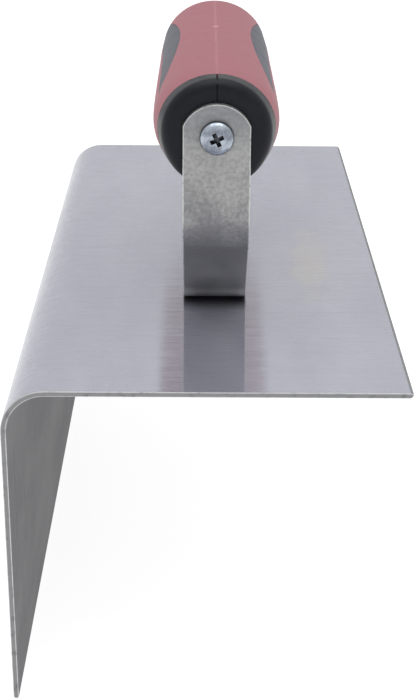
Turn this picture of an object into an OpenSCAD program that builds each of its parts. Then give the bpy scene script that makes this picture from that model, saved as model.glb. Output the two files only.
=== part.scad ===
// Outside-corner finishing trowel: a bent sheet blade, a strip bracket and a
// two-colour moulded handle held by one screw.
//
// Frame: X = 0 is the middle plane of the bracket and handle, +X points to the
// free edge of the top leaf and -X to the side leaf. Y = 0 is the middle of the
// blade's length, -Y is the end that the bracket stands at. Z = 0 is the
// underside of the top leaf, which is the face that works, and +Z is up.

/* [Blade] */
// Length of the blade
blade_length = 254; // [150:1:400]
// Width over the top leaf, from the side leaf's outer face to the free edge
top_width = 114.3; // [80:0.1:160]
// Height over the side leaf, from the top face down to its lower edge
side_height = 101.6; // [50:0.1:150]
// Outer radius of the bend between the two leaves
bend_radius = 12.7; // [6:0.1:25]
// Thickness of the sheet
sheet = 1.6; // [1:0.1:3]
// Side leaf's outer face to the middle plane of the bracket and handle
handle_offset = 59.8; // [40:0.1:80]

/* [Bracket] */
// Width of the steel strip
strip_width = 19.5; // [16:0.1:25]
// Thickness of the steel strip
strip = 3.2; // [2:0.1:5]
// End of the blade to the upright's front face
upright_setback = 40.6; // [30:0.1:60]
// Height of the handle's axis above the blade's top face
axis_height = 61.2; // [55:0.1:75]
// Height above the blade's top face at which the upright starts to bend
upright_foot = 37.2; // [32:0.1:42]
// Outer radius of the upper bend
upper_bend = 16; // [8:0.5:20]
// Outer radius of the lower bend
lower_bend = 12; // [6:0.5:16]
// Length of the flat foot
foot_length = 48; // [40:1:70]
// Radius of the strip's two rounded ends
end_radius = 10.6; // [10:0.1:12]
// Handle's axis to the crown of the strip's upper end
crown = 9.1; // [8:0.1:12]

/* [Handle] */
// Length of the handle
handle_length = 136.5; // [110:0.5:160]
// Half of the handle's greatest width
grip_side = 18.75; // [15:0.05:22]
// Handle's axis to its upper line
grip_top = 15.8; // [13:0.1:20]
// Handle's axis to its lower line
grip_bottom = 16.8; // [13:0.1:20]
// Length of the bare collar at the front of the core
collar_length = 7.5; // [5:0.1:12]
// Rounding between the collar's face and its side
face_round = 3; // [1:0.1:4]
// Thickness of the soft sleeve over the core
sleeve = 3; // [2:0.1:4]
// Thickness of the side pads
pad_thickness = 1.8; // [1:0.1:2]
// How deep the bracket's upright sits in the collar
slot_depth = 1.2; // [0.5:0.1:2.5]
// Width of the parting groove between the two halves of the core
groove = 0.36; // [0.1:0.02:0.6]
// Depth of the parting groove
groove_depth = 0.8; // [0.3:0.1:1.5]

/* [Fasteners] */
// Diameter of the screw's shank
screw_d = 4.8; // [4:0.1:6]
// How far the screw lies below the handle's axis
screw_drop = 0.5; // [0:0.1:1]
// Length of the screw under its head
screw_length = 25.4; // [22:0.1:32]
// Diameter of the screw's pan head
head_d = 9.8; // [8:0.1:12]
// Height of the pan head
head_h = 2.9; // [2:0.1:4]
// Turn of the cross recess about the screw's axis
recess_turn = 25; // [0:1:89]
// Distance across the captive nut's flats
nut_flats = 9.5; // [8:0.1:10]
// Thickness of the captive nut
nut_h = 3.2; // [2.5:0.1:4]
// Collar's face to the captive nut
nut_depth = 16; // [12:0.5:18]
// Diameter of the rivets' shanks
rivet_d = 4.8; // [4:0.1:6]
// Diameter of the rivets' domed upper heads
rivet_head_d = 9; // [7:0.1:10]
// Height of the rivets' domed upper heads
rivet_head_h = 2.2; // [1.5:0.1:3]
// Diameter of the flush countersunk ends in the working face
rivet_flush_d = 7.2; // [6:0.1:9]

/* [Hidden] */
$fn = 64;

// Clearance round the bracket in the collar's slot and round the nut
ease = 0.15;
// Radius of the clearance hole that the screw passes through
screw_hole_r = screw_d / 2 + 0.2;
// A little more than any cutter needs to pass right through
over = 1;
// Larger than the whole trowel
big = 500;

blade_front = -blade_length / 2;
leaf_x = -handle_offset;
upright_y = blade_front + upright_setback;
collar_y = upright_y + strip - slot_depth;
axis_z = sheet + axis_height;
screw_z = axis_z - screw_drop;
strip_top_z = axis_z + crown;

// The bracket's side profile bends twice by this angle
bend = 45;
bend_start_z = sheet + upright_foot;
slope_start = [
    upright_y + upper_bend * (1 - cos(bend)),
    bend_start_z - upper_bend * sin(bend)
];
slope_end_z = sheet + lower_bend * (1 - sin(bend));
slope_length = (slope_start[1] - slope_end_z) / cos(bend);
foot_start_y = slope_start[0] + slope_length * sin(bend) + lower_bend * cos(bend);
foot_end_y = foot_start_y + foot_length;
rivet_inset = 11;
rivet_front_y = foot_start_y + rivet_inset;
rivet_rear_y = foot_end_y - rivet_inset;
countersink = 1.2;

// Handle stations: distance from the collar's face as a share of its length,
// then side, top and bottom as shares of grip_side, grip_top and grip_bottom
STATIONS = [
    [0.000, 0.82, 0.98, 0.98],
    [0.045, 0.90, 0.99, 1.00],
    [0.103, 0.98, 1.00, 1.00],
    [0.176, 1.00, 1.00, 0.98],
    [0.366, 1.00, 1.00, 0.95],
    [0.586, 0.99, 1.00, 1.01],
    [0.733, 0.985, 1.005, 1.025],
    [0.864, 0.96, 1.02, 0.99]
];
dome_start = STATIONS[len(STATIONS) - 1][0];
// How square the domed rear end is: 2 is an ellipse
dome_power = 2.5;
// The last ring of a dome stops just short of its pole
dome_stop = 0.9995;
SIDES = 40;

// Side pad's outline seen from the side: distance from the collar's face as a
// share of the handle's length, and height above its axis as a share of grip_top
PAD_EDGE = [
    [0.160, 0.41], [0.195, 0.49], [0.240, 0.59], [0.345, 0.70], [0.455, 0.76],
    [0.586, 0.78], [0.700, 0.735], [0.790, 0.65], [0.860, 0.54], [0.886, 0.42],
    [0.865, 0.31], [0.805, 0.24], [0.720, 0.26], [0.585, 0.34], [0.440, 0.39],
    [0.290, 0.40], [0.190, 0.39]
];

// The core's four hollow chambers and the two ribs that carry locating pegs
CHAMBERS = [[0.175, 0.33], [0.38, 0.53], [0.58, 0.73], [0.78, 0.91]];
PEGS = [0.355, 0.755];
core_wall = 2.6;
peg_r = 2;
peg_length = 4;

// ---- smooth values between stations ----

function last(list) = list[len(list) - 1];

function slope_at(list, i, c) =
    let (a = max(i - 1, 0), b = min(i + 1, len(list) - 1))
    (list[b][c] - list[a][c]) / (list[b][0] - list[a][0]);

function span_of(list, u) =
    max([for (i = [0 : len(list) - 2]) if (i == 0 || u >= list[i][0]) i]);

function smooth_value(list, u, c) =
    let (
        i = span_of(list, u),
        w = list[i + 1][0] - list[i][0],
        t = (u - list[i][0]) / w
    )
    (2 * t ^ 3 - 3 * t ^ 2 + 1) * list[i][c]
    + (t ^ 3 - 2 * t ^ 2 + t) * w * slope_at(list, i, c)
    + (3 * t ^ 2 - 2 * t ^ 3) * list[i + 1][c]
    + (t ^ 3 - t ^ 2) * w * slope_at(list, i + 1, c);

// ---- the handle's shape ----

// Half sizes of the section, [side, top, bottom], at distance s behind the
// collar's face, on a skin that lies this far inside the outer surface
function half_sizes(s, inside) =
    let (
        u = min(s / handle_length, dome_start),
        s0 = dome_start * handle_length,
        t = min(max((s - s0) / (handle_length - inside - s0), 0), dome_stop),
        close = (1 - t ^ dome_power) ^ (1 / dome_power),
        lead = max(face_round - s, 0),
        round_in = face_round - sqrt(face_round ^ 2 - lead ^ 2)
    )
    [
        for (c = [1 : 3])
            ([0, grip_side, grip_top, grip_bottom][c] * smooth_value(STATIONS, u, c)
            - inside) * close - round_in
    ];

function section(s, inside, sides = SIDES) =
    let (h = half_sizes(s, inside))
    [
        for (i = [0 : sides - 1])
            let (a = 360 * i / sides)
            [h[0] * cos(a), collar_y + s, axis_z + (sin(a) > 0 ? h[1] : h[2]) * sin(a)]
    ];

// A closed skin through a list of rings that run towards +Y, with an end point
// in the middle of its first and last ring
module skin(rings) {
    n = len(rings[0]);
    m = len(rings);
    first = m * n;
    sides = [
        for (k = [0 : m - 2])
            for (i = [0 : n - 1])
                let (a = k * n + i, b = k * n + (i + 1) % n)
                each [[a, b, a + n], [b, b + n, a + n]]
    ];
    ends = [
        for (i = [0 : n - 1])
            let (j = (i + 1) % n)
            each [[first, j, i], [first + 1, first - n + i, first - n + j]]
    ];
    points = concat([for (r = rings) each r], [middle(rings[0]), middle(last(rings))]);
    polyhedron(points, concat(sides, ends));
}

function middle(ring) = [0, ring[0][1], (max([for (p = ring) p[2]]) + min([for (p = ring) p[2]])) / 2];

function rounded_face_steps() = [for (a = [0 : 22.5 : 90]) face_round * (1 - cos(a))];

function plain_steps(from, to, step) =
    let (n = ceil((to - from) / step))
    [for (i = [1 : n]) from + (to - from) * i / n];

function dome_steps(inside) =
    let (s0 = dome_start * handle_length, depth = handle_length - inside - s0)
    [for (a = [12 : 12 : 84]) s0 + depth * sin(a)];

function skin_steps(from, inside) = concat(
    plain_steps(from, dome_start * handle_length, 7),
    dome_steps(inside),
    [handle_length - inside]
);

// The whole handle's outer form
module grip_form() {
    steps = concat(rounded_face_steps(), skin_steps(face_round, 0));
    skin([for (s = steps) section(s, 0)]);
}

// The form that lies this far inside the outer surface, behind the collar
module inner_form(inside) {
    steps = concat([collar_length], skin_steps(collar_length, inside));
    skin([for (s = steps) section(s, inside)]);
}

// ---- blade ----

module corner_profile(r) {
    intersection() {
        circle(r);
        translate([-r, 0]) square(r);
    }
}

module blade_profile() {
    cx = leaf_x + bend_radius;
    cz = sheet - bend_radius;
    difference() {
        union() {
            translate([cx, 0]) square([top_width - bend_radius, sheet]);
            translate([leaf_x, sheet - side_height]) square([sheet, side_height - bend_radius]);
            translate([cx, cz]) corner_profile(bend_radius);
        }
        translate([cx, cz]) corner_profile(bend_radius - sheet);
    }
}

module blade() {
    color([0.70, 0.71, 0.74])
    difference() {
        translate([0, -blade_front, 0]) rotate([90, 0, 0])
            linear_extrude(blade_length) blade_profile();
        for (y = [rivet_front_y, rivet_rear_y]) {
            translate([0, y, -over]) cylinder(h = sheet + 2 * over, d = rivet_d);
            translate([0, y, 0]) cylinder(h = countersink, d1 = rivet_flush_d, d2 = rivet_d);
        }
    }
}

// ---- bracket ----

// An arc of strip of outer radius r, from angle a to angle b
module strip_arc(r, a, b) {
    reach = 2 * r;
    intersection() {
        difference() {
            circle(r);
            circle(r - strip);
        }
        polygon([
            [0, 0],
            [reach * cos(a), reach * sin(a)],
            [reach * cos((a + b) / 2), reach * sin((a + b) / 2)],
            [reach * cos(b), reach * sin(b)]
        ]);
    }
}

// Side profile in Y and Z: upright, upper bend, slope, lower bend and foot
module bracket_profile() {
    upper_centre = [upright_y + upper_bend, bend_start_z];
    lower_centre = [foot_start_y, sheet + lower_bend];
    translate([upright_y, bend_start_z]) square([strip, strip_top_z - bend_start_z]);
    translate(upper_centre) strip_arc(upper_bend, 180, 180 + bend);
    translate(slope_start) rotate(bend - 90) square([slope_length, strip]);
    translate(lower_centre) strip_arc(lower_bend, 180 + bend, 270);
    translate([foot_start_y, sheet]) square([foot_length, strip]);
}

// The strip laid flat: its crown at the origin, its end an arc cut to the width
module strip_plate(length, extra = 0) {
    half = strip_width / 2 + extra;
    intersection() {
        translate([0, -end_radius]) circle(end_radius + extra);
        translate([-half, -end_radius]) square([2 * half, end_radius + extra]);
    }
    translate([-half, -length]) square([2 * half, length - end_radius]);
}

module bracket() {
    color([0.58, 0.58, 0.58])
    difference() {
        intersection() {
            translate([-strip_width / 2, 0, 0]) rotate([90, 0, 90])
                linear_extrude(strip_width) bracket_profile();
            translate([0, upright_y + big / 2, strip_top_z]) rotate([90, 0, 0])
                linear_extrude(big) strip_plate(strip_top_z - sheet);
            translate([0, foot_end_y, 0])
                linear_extrude(big) strip_plate(foot_end_y - upright_y + over);
        }
        translate([0, upright_y - over, screw_z]) rotate([-90, 0, 0])
            cylinder(h = strip + 2 * over, r = screw_hole_r);
        for (y = [rivet_front_y, rivet_rear_y])
            translate([0, y, sheet - over]) cylinder(h = strip + 2 * over, d = rivet_d);
    }
}

// ---- rivets ----

module rivet(y) {
    head_z = sheet + strip;
    dome_r = (rivet_head_d ^ 2 / 4 + rivet_head_h ^ 2) / (2 * rivet_head_h);
    translate([0, y, 0]) {
        cylinder(h = countersink, d1 = rivet_flush_d, d2 = rivet_d);
        cylinder(h = head_z, d = rivet_d);
        intersection() {
            translate([0, 0, head_z + rivet_head_h - dome_r]) sphere(dome_r);
            translate([0, 0, head_z]) cylinder(h = rivet_head_h + over, d = rivet_head_d + over);
        }
    }
}

module rivet_front() {
    color([0.62, 0.62, 0.63]) rivet(rivet_front_y);
}

module rivet_rear() {
    color([0.62, 0.62, 0.63]) rivet(rivet_rear_y);
}

// ---- handle core: two moulded halves ----

module core_form() {
    collar = concat(rounded_face_steps(), [5, collar_length]);
    skin([
        for (s = collar) section(s, 0),
        for (s = concat([collar_length], skin_steps(collar_length, sleeve))) section(s, sleeve)
    ]);
}

module chamber(ends) {
    from = ends[0] * handle_length;
    to = min(ends[1] * handle_length, handle_length - sleeve - core_wall - 2);
    skin([
        for (i = [0 : 4]) section(from + (to - from) * i / 4, sleeve + core_wall, 32)
    ]);
}

// Everything that is cut from both halves
module core_cuts() {
    floor_y = collar_y + slot_depth;
    translate([0, floor_y, strip_top_z]) rotate([90, 0, 0])
        linear_extrude(slot_depth + over) strip_plate(crown + grip_bottom + over, ease);
    translate([0, floor_y - over, screw_z]) rotate([-90, 0, 0])
        cylinder(h = screw_length, r = screw_hole_r);
    translate([0, collar_y + nut_depth, screw_z]) rotate([-90, 0, 0])
        cylinder(h = nut_h, d = (nut_flats + 2 * ease) / cos(30), $fn = 6);
    for (ends = CHAMBERS) chamber(ends);
}

// The shallow groove where the halves meet, round the collar and up its face
module parting_groove() {
    difference() {
        translate([-groove / 2, collar_y - over, axis_z - big / 2])
            cube([groove, collar_length + over, big]);
        skin([
            for (s = [groove_depth, 2 * face_round, collar_length + over])
                section(s, groove_depth + (s < face_round ? 1.5 : 0))
        ]);
    }
}

// side is -1 for the left half and 1 for the right half
module core_half(side) {
    difference() {
        intersection() {
            core_form();
            translate([side > 0 ? 0 : -big, -big / 2, -big / 2]) cube(big);
        }
        core_cuts();
        parting_groove();
    }
}

module peg(share, r, length) {
    translate([0, collar_y + share * handle_length, axis_z]) rotate([0, 90, 0])
        cylinder(h = length, r = r);
}

module core_left() {
    color([0.15, 0.15, 0.17]) {
        core_half(-1);
        for (share = PEGS) peg(share, peg_r, peg_length);
    }
}

module core_right() {
    color([0.15, 0.15, 0.17])
    difference() {
        core_half(1);
        for (share = PEGS) translate([-over, 0, 0]) peg(share, peg_r + 0.05, peg_length + over + ease);
    }
}

// ---- screw and nut ----

module captive_nut() {
    color([0.72, 0.70, 0.62])
    translate([0, collar_y + nut_depth, screw_z]) rotate([-90, 0, 0])
        difference() {
            cylinder(h = nut_h, d = nut_flats / cos(30), $fn = 6);
            translate([0, 0, -over]) cylinder(h = nut_h + 2 * over, d = screw_d + 0.04);
        }
}

module cross_recess() {
    wing = 0.46 * head_d;
    slot = 0.12 * head_d;
    depth = 0.62 * head_h;
    for (a = [0, 90])
        rotate(recess_turn + a) translate([-wing / 2, -slot / 2, head_h - depth])
            cube([wing, slot, depth + over]);
}

module handle_screw() {
    rim = 0.9;
    crown_h = head_h - rim;
    dome_r = (head_d ^ 2 / 4 + crown_h ^ 2) / (2 * crown_h);
    color([0.75, 0.78, 0.82])
    translate([0, upright_y, screw_z]) rotate([90, 0, 0])
        difference() {
            union() {
                translate([0, 0, -screw_length]) cylinder(h = screw_length, d = screw_d);
                cylinder(h = rim, d = head_d);
                intersection() {
                    translate([0, 0, head_h - dome_r]) sphere(dome_r);
                    translate([0, 0, rim]) cylinder(h = head_h, d = head_d + over);
                }
            }
            cross_recess();
        }
}

// ---- soft sleeve and side pads ----

// The pad's outline as a closed smooth curve through PAD_EDGE
function pad_curve() = [
    for (i = [0 : len(PAD_EDGE) - 1])
        let (
            n = len(PAD_EDGE),
            a = PAD_EDGE[(i + n - 1) % n],
            b = PAD_EDGE[i],
            c = PAD_EDGE[(i + 1) % n],
            d = PAD_EDGE[(i + 2) % n]
        )
        for (t = [0, 1 / 3, 2 / 3])
            0.5 * (2 * b + (c - a) * t + (2 * a - 5 * b + 4 * c - d) * t ^ 2
            + (3 * b - a - 3 * c + d) * t ^ 3)
];

// A bar of the pad's outline that points out to one side
module pad_bar(side) {
    outline = [for (p = pad_curve()) [collar_y + p[0] * handle_length, axis_z + p[1] * grip_top]];
    translate([side > 0 ? 0 : -grip_side - over, 0, 0]) rotate([90, 0, 90])
        linear_extrude(grip_side + over) polygon(outline);
}

module pad(side) {
    difference() {
        intersection() {
            grip_form();
            pad_bar(side);
        }
        inner_form(pad_thickness);
    }
}

module grip_sleeve() {
    color([0.66, 0.42, 0.45])
    difference() {
        intersection() {
            grip_form();
            translate([-big / 2, collar_y + collar_length, -big / 2]) cube(big);
        }
        inner_form(sleeve);
        difference() {
            union() {
                pad_bar(-1);
                pad_bar(1);
            }
            inner_form(pad_thickness);
        }
    }
}

module pad_left() {
    color([0.44, 0.44, 0.49]) pad(-1);
}

module pad_right() {
    color([0.44, 0.44, 0.49]) pad(1);
}

blade();
bracket();
rivet_front();
rivet_rear();
core_left();
core_right();
captive_nut();
handle_screw();
grip_sleeve();
pad_left();
pad_right();
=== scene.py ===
"""Visual model of a hand trowel for finishing outside corners.

A sheet blade bent to a rounded right angle carries a strip bracket, and one
cross-recess screw holds a two-colour soft handle to the bracket's upright.
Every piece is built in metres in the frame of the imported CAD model: X = 0 is
the middle plane of the handle, +X points to the blade's free edge, Y runs along
the blade and Z = 0 is the underside of the top leaf.
"""

import logging
import math
from collections.abc import Callable, Sequence
from dataclasses import dataclass, field
from enum import Enum

import bmesh
import bpy
from mathutils import Matrix, Vector


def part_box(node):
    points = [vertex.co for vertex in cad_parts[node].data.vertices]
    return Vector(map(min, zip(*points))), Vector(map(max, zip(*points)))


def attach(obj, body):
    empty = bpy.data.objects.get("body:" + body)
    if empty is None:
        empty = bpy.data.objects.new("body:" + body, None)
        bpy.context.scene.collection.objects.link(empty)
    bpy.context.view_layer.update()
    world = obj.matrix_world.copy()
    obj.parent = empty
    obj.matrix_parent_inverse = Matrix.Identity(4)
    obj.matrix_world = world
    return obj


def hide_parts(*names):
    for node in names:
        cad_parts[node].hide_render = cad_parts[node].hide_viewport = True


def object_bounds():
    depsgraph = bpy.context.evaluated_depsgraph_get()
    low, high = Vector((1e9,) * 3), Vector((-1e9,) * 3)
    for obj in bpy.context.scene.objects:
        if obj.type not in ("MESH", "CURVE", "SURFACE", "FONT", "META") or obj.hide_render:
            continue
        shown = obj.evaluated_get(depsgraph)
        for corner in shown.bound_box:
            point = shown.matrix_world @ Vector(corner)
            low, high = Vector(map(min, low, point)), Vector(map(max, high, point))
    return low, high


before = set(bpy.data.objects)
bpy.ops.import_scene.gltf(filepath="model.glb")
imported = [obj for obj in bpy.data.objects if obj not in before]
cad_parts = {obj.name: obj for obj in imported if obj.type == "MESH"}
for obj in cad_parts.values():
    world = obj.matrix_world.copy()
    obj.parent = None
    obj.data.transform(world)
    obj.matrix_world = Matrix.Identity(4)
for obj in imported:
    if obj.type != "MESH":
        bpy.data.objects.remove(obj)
CAD_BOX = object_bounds()

LOG = logging.getLogger("trowel")
BODY = "root"
MM = 0.001
TINY = 1e-6


class Turn(Enum):
    """Directions that a piece shaped along +Z is turned to."""

    UP = "up"
    TO_FRONT = "to front"
    TO_REAR = "to rear"

    def matrix(self) -> Matrix:
        """Returns the rotation from +Z to this direction."""
        quarter = math.pi / 2
        return {
            Turn.UP: Matrix.Identity(4),
            Turn.TO_FRONT: Matrix.Rotation(quarter, 4, "X"),
            Turn.TO_REAR: Matrix.Rotation(-quarter, 4, "X"),
        }[self]


class Cut(Enum):
    """How one solid changes another."""

    AWAY = "DIFFERENCE"
    COMMON = "INTERSECT"
    JOINED = "UNION"


class Flank(Enum):
    """The two sides of the handle."""

    LEFT = -1
    RIGHT = 1

    @property
    def word(self) -> str:
        """The flank's name in a piece's name."""
        return self.name.lower()


# ---------------------------------------------------------------- the bench


class Bench:
    """The modelling bench: selection, edit mode, modifiers and clean-up."""

    @staticmethod
    def clear() -> None:
        """Leaves edit mode and deselects everything."""
        if bpy.context.mode != "OBJECT":
            bpy.ops.object.mode_set(mode="OBJECT")
        bpy.ops.object.select_all(action="DESELECT")

    @staticmethod
    def pick(piece: bpy.types.Object) -> None:
        """Makes one piece the only selected and active one.

        Args:
            piece: The piece to pick.
        """
        Bench.clear()
        piece.select_set(True)
        bpy.context.view_layer.objects.active = piece

    @staticmethod
    def settle(name: str) -> bpy.types.Object:
        """Names the piece just added and puts its place into its mesh.

        Args:
            name: The piece's new name.

        Returns:
            The piece, at the origin, unturned and unscaled.
        """
        piece = bpy.context.view_layer.objects.active
        piece.name = piece.data.name = name
        Bench.pick(piece)
        bpy.ops.object.transform_apply(location=True, rotation=True, scale=True)
        return piece

    @staticmethod
    def place(piece: bpy.types.Object, turn: Turn, where: Vector) -> None:
        """Turns a piece that was shaped along +Z and moves it to its place.

        Args:
            piece: The piece, shaped round the origin.
            turn: The direction its +Z ends in.
            where: The place of its origin.
        """
        Bench.pick(piece)
        piece.matrix_world = Matrix.Translation(where) @ turn.matrix()
        bpy.ops.object.transform_apply(location=True, rotation=True, scale=True)

    @staticmethod
    def edit(piece: bpy.types.Object) -> None:
        """Opens a piece in edit mode with all of it selected.

        Args:
            piece: The piece to edit.
        """
        Bench.pick(piece)
        bpy.ops.object.mode_set(mode="EDIT")
        bpy.ops.mesh.select_mode(type="VERT")
        bpy.ops.mesh.select_all(action="SELECT")

    @staticmethod
    def select_points(piece: bpy.types.Object, wanted: Callable[[Vector], bool]) -> None:
        """Selects the points that pass a test, with their edges and faces.

        Args:
            piece: The piece in edit mode.
            wanted: The test of a point's place.
        """
        mesh = bmesh.from_edit_mesh(piece.data)
        for face in mesh.faces:
            face.select = False
        for edge in mesh.edges:
            edge.select = False
        for point in mesh.verts:
            point.select = wanted(point.co)
        mesh.select_flush(True)
        bmesh.update_edit_mesh(piece.data, loop_triangles=False, destructive=False)

    @staticmethod
    def extrude(step: Vector) -> None:
        """Extrudes the selection by a step.

        Args:
            step: How far the new part moves.
        """
        bpy.ops.mesh.extrude_region_move(TRANSFORM_OT_translate={"value": step})

    @staticmethod
    def resize(scale: Vector, centre: Vector) -> None:
        """Scales the selection about a point.

        Args:
            scale: The scale along X, Y and Z.
            centre: The point that stays.
        """
        bpy.ops.transform.resize(value=scale, center_override=centre)

    @staticmethod
    def modify(piece: bpy.types.Object, kind: str, **settings: object) -> None:
        """Adds a modifier to a piece and applies it.

        Args:
            piece: The piece to change.
            kind: Blender's name for the modifier.
            **settings: The modifier's own settings.
        """
        Bench.pick(piece)
        modifier = piece.modifiers.new(kind.title(), kind)
        for name, value in settings.items():
            setattr(modifier, name, value)
        bpy.ops.object.modifier_apply(modifier=modifier.name)

    @staticmethod
    def break_edges(piece: bpy.types.Object, width: float) -> None:
        """Bevels a piece's sharp edges and gives the bevels its second material.

        Args:
            piece: The piece to bevel.
            width: The bevels' width.
        """
        Bench.modify(
            piece,
            "BEVEL",
            width=width,
            segments=2,
            limit_method="ANGLE",
            angle_limit=math.radians(50),
            material=1,
        )

    @staticmethod
    def cut(
        piece: bpy.types.Object, tool: bpy.types.Object, how: Cut = Cut.AWAY, solver: str = "EXACT"
    ) -> None:
        """Changes a piece by another solid, which is used up.

        Args:
            piece: The piece to change.
            tool: The solid that cuts, and is removed afterwards.
            how: Whether it cuts away, keeps what is common, or joins.
            solver: Blender's name for the way it is worked out.
        """
        Bench.modify(piece, "BOOLEAN", operation=how.value, object=tool, solver=solver)
        Bench.scrap(tool)

    @staticmethod
    def scrap(piece: bpy.types.Object) -> None:
        """Removes a piece and its mesh.

        Args:
            piece: The piece to remove.
        """
        mesh = piece.data
        bpy.data.objects.remove(piece)
        bpy.data.meshes.remove(mesh)

    @staticmethod
    def mend(piece: bpy.types.Object, gap: float = 2e-7) -> None:
        """Merges doubled points and points every face outwards.

        Args:
            piece: The piece to mend.
            gap: How close two points are to be one.
        """
        Bench.edit(piece)
        bpy.ops.mesh.remove_doubles(threshold=gap)
        bpy.ops.mesh.normals_make_consistent(inside=False)
        if bmesh.from_edit_mesh(piece.data).calc_volume(signed=True) < 0:
            bpy.ops.mesh.flip_normals()
        Bench.clear()

    @staticmethod
    def smooth(piece: bpy.types.Object, angle: float = 30.0, weighted: bool = True) -> None:
        """Shades a piece smooth up to an angle, with its large faces kept flat.

        Args:
            piece: The piece to shade.
            angle: The sharpest angle that is smoothed, in degrees.
            weighted: Whether large faces lead the shading of their edges.
        """
        Bench.pick(piece)
        bpy.ops.object.shade_smooth_by_angle(angle=math.radians(angle))
        if weighted:
            Bench.modify(piece, "WEIGHTED_NORMAL", keep_sharp=True, weight=100)

    @staticmethod
    def open_edges(piece: bpy.types.Object) -> int:
        """Counts the edges that don't join exactly two faces.

        Args:
            piece: The piece to look at.

        Returns:
            The number of open or crowded edges.
        """
        mesh = bmesh.new()
        mesh.from_mesh(piece.data)
        count = sum(not edge.is_manifold for edge in mesh.edges)
        mesh.free()
        return count


def add_box(name: str, low: Vector, high: Vector) -> bpy.types.Object:
    """Adds a block for cutting.

    Args:
        name: The block's name.
        low: Its lowest corner.
        high: Its highest corner.

    Returns:
        The block.
    """
    Bench.clear()
    bpy.ops.mesh.primitive_cube_add(size=1.0, location=(low + high) / 2, scale=high - low)
    return Bench.settle(name)


def add_rod(
    name: str, radius: float, ends: tuple[float, float], turn: Turn, where: Vector, sides: int = 64
) -> bpy.types.Object:
    """Adds a round or many-sided rod for cutting.

    Args:
        name: The rod's name.
        radius: Its radius.
        ends: Where it starts and stops along its own axis.
        turn: The direction its axis points in.
        where: The place of its origin.
        sides: How many sides it has.

    Returns:
        The rod.
    """
    Bench.clear()
    bpy.ops.mesh.primitive_cylinder_add(
        vertices=sides, radius=radius, depth=ends[1] - ends[0], location=(0, 0, sum(ends) / 2)
    )
    rod = Bench.settle(name)
    Bench.place(rod, turn, where)
    return rod


def turn_piece(
    name: str, profile: Sequence[tuple[float, float]], turn: Turn, where: Vector, sides: int = 64
) -> bpy.types.Object:
    """Makes a round piece, one ring after another along its axis.

    Args:
        name: The piece's name.
        profile: Radius and height of each ring, from the lowest to the highest.
        turn: The direction that its axis points in.
        where: The place of its origin.
        sides: How many points each ring has.

    Returns:
        The piece.
    """
    Bench.clear()
    radius, height = profile[0]
    bpy.ops.mesh.primitive_circle_add(
        vertices=sides, radius=radius, fill_type="NGON", location=(0, 0, height)
    )
    piece = Bench.settle(name)
    Bench.edit(piece)
    for next_radius, next_height in profile[1:]:
        Bench.extrude(Vector((0, 0, next_height - height)))
        share = next_radius / radius
        Bench.resize(Vector((share, share, 1)), Vector((0, 0, next_height)))
        radius, height = next_radius, next_height
    Bench.mend(piece)
    Bench.place(piece, turn, where)
    return piece


def dome(
    radius: float, base: float, height: float, power: float, steps: int = 9
) -> list[tuple[float, float]]:
    """Lists the rings of a domed end.

    Args:
        radius: The dome's radius at its base.
        base: The height of its base.
        height: How high it rises.
        power: How square its shoulder is; 2 is round.
        steps: How many rings it has.

    Returns:
        Radius and height of each ring, from the base up.
    """
    rings = []
    for i in range(1, steps + 1):
        angle = math.pi / 2 * i / (steps + 0.35)
        rings.append(
            (radius * math.cos(angle) ** (2 / power), base + height * math.sin(angle) ** (2 / power))
        )
    return rings


# ------------------------------------------------------------- node building


Socket = bpy.types.NodeSocket
Value = float | Sequence[float] | Socket


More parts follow.
